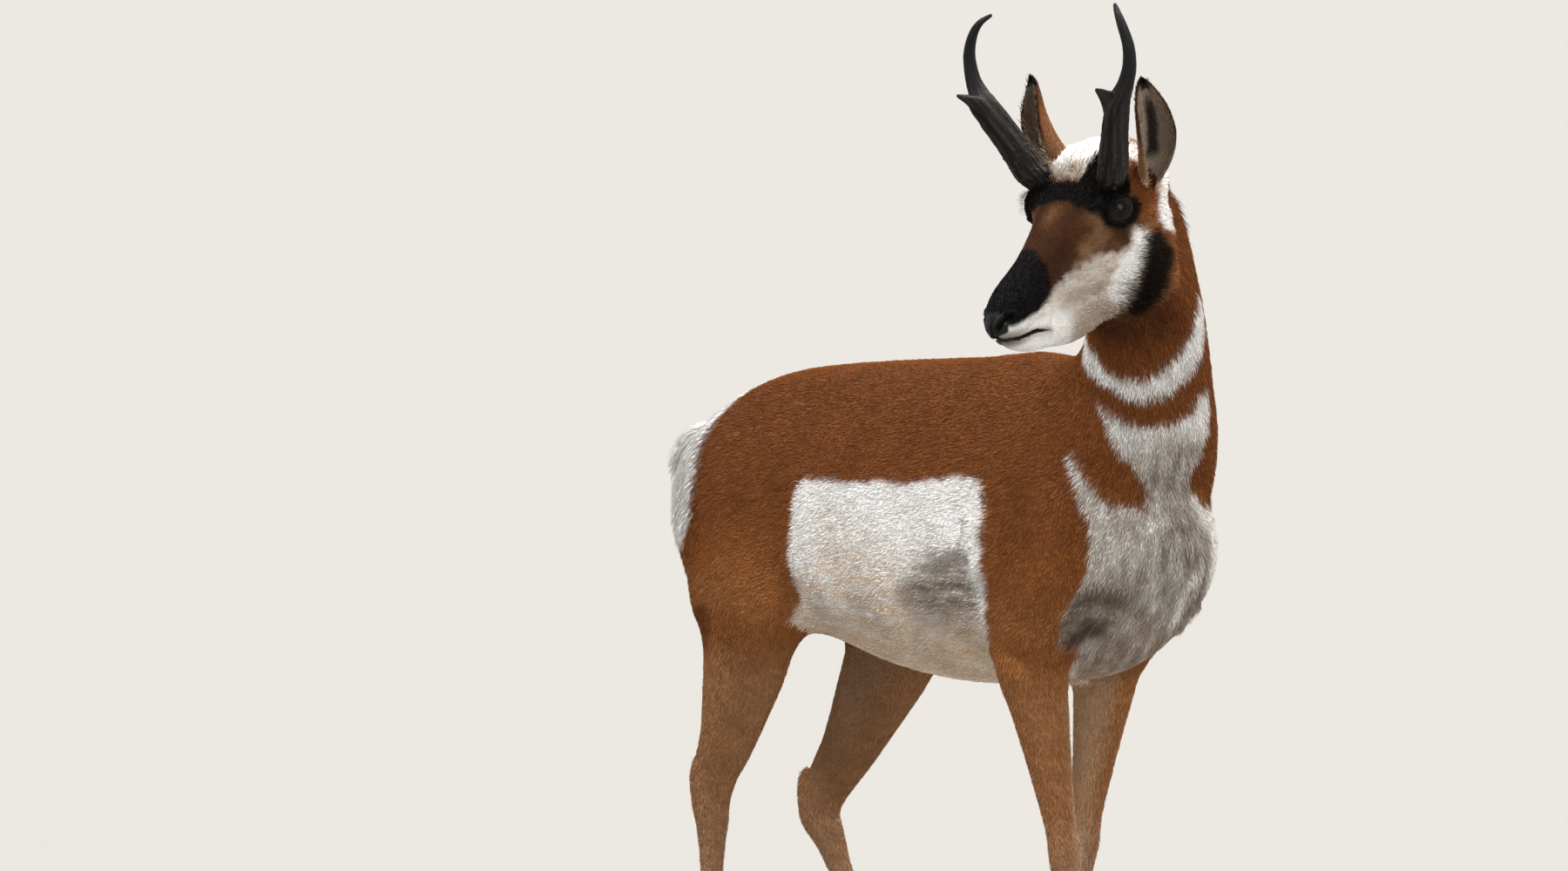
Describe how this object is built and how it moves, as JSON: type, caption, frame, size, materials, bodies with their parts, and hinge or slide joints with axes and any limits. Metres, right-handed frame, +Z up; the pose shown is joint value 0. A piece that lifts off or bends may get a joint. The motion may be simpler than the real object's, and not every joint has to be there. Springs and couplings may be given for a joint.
{
  "type": "pronghorn",
  "caption": "Life-size pronghorn buck standing still on all four feet, with its head turned to its right and its horns and ears up",
  "frame": {"origin": "centre of the model's box at floor level, under the trunk", "axes": "+X the way the body faces, +Y its left side, +Z up; the head is turned towards -Y"},
  "size_m": [1.0812, 0.4848, 1.3321],
  "materials": {
    "coat": "short dense reddish-brown hair with white and black markings",
    "ear_coat": "short tan hair, pale inside, black at the edge and tip",
    "tail_coat": "white hair with a brown stripe on top",
    "horn": "black horn sheath with fine lengthwise grain, smoother towards the tip",
    "hoof": "dark hoof horn, satin",
    "eye": "wet dark brown eye"
  },
  "bodies": {
    "root": {"trunk": "coat", "neck": "coat", "head": "coat", "foreleg_right": "coat", "foreleg_left": "coat", "hindleg_right": "coat", "hindleg_left": "coat", "tail": "tail_coat", "ear_right": "ear_coat", "ear_left": "ear_coat", "eye_right": "eye", "eye_left": "eye", "horn_right": "horn", "horn_left": "horn", "fore_hoof_right_outer": "hoof", "fore_hoof_right_inner": "hoof", "fore_hoof_left_outer": "hoof", "fore_hoof_left_inner": "hoof", "hind_hoof_right_outer": "hoof", "hind_hoof_right_inner": "hoof", "hind_hoof_left_outer": "hoof", "hind_hoof_left_inner": "hoof"}
  },
  "joints": []
}
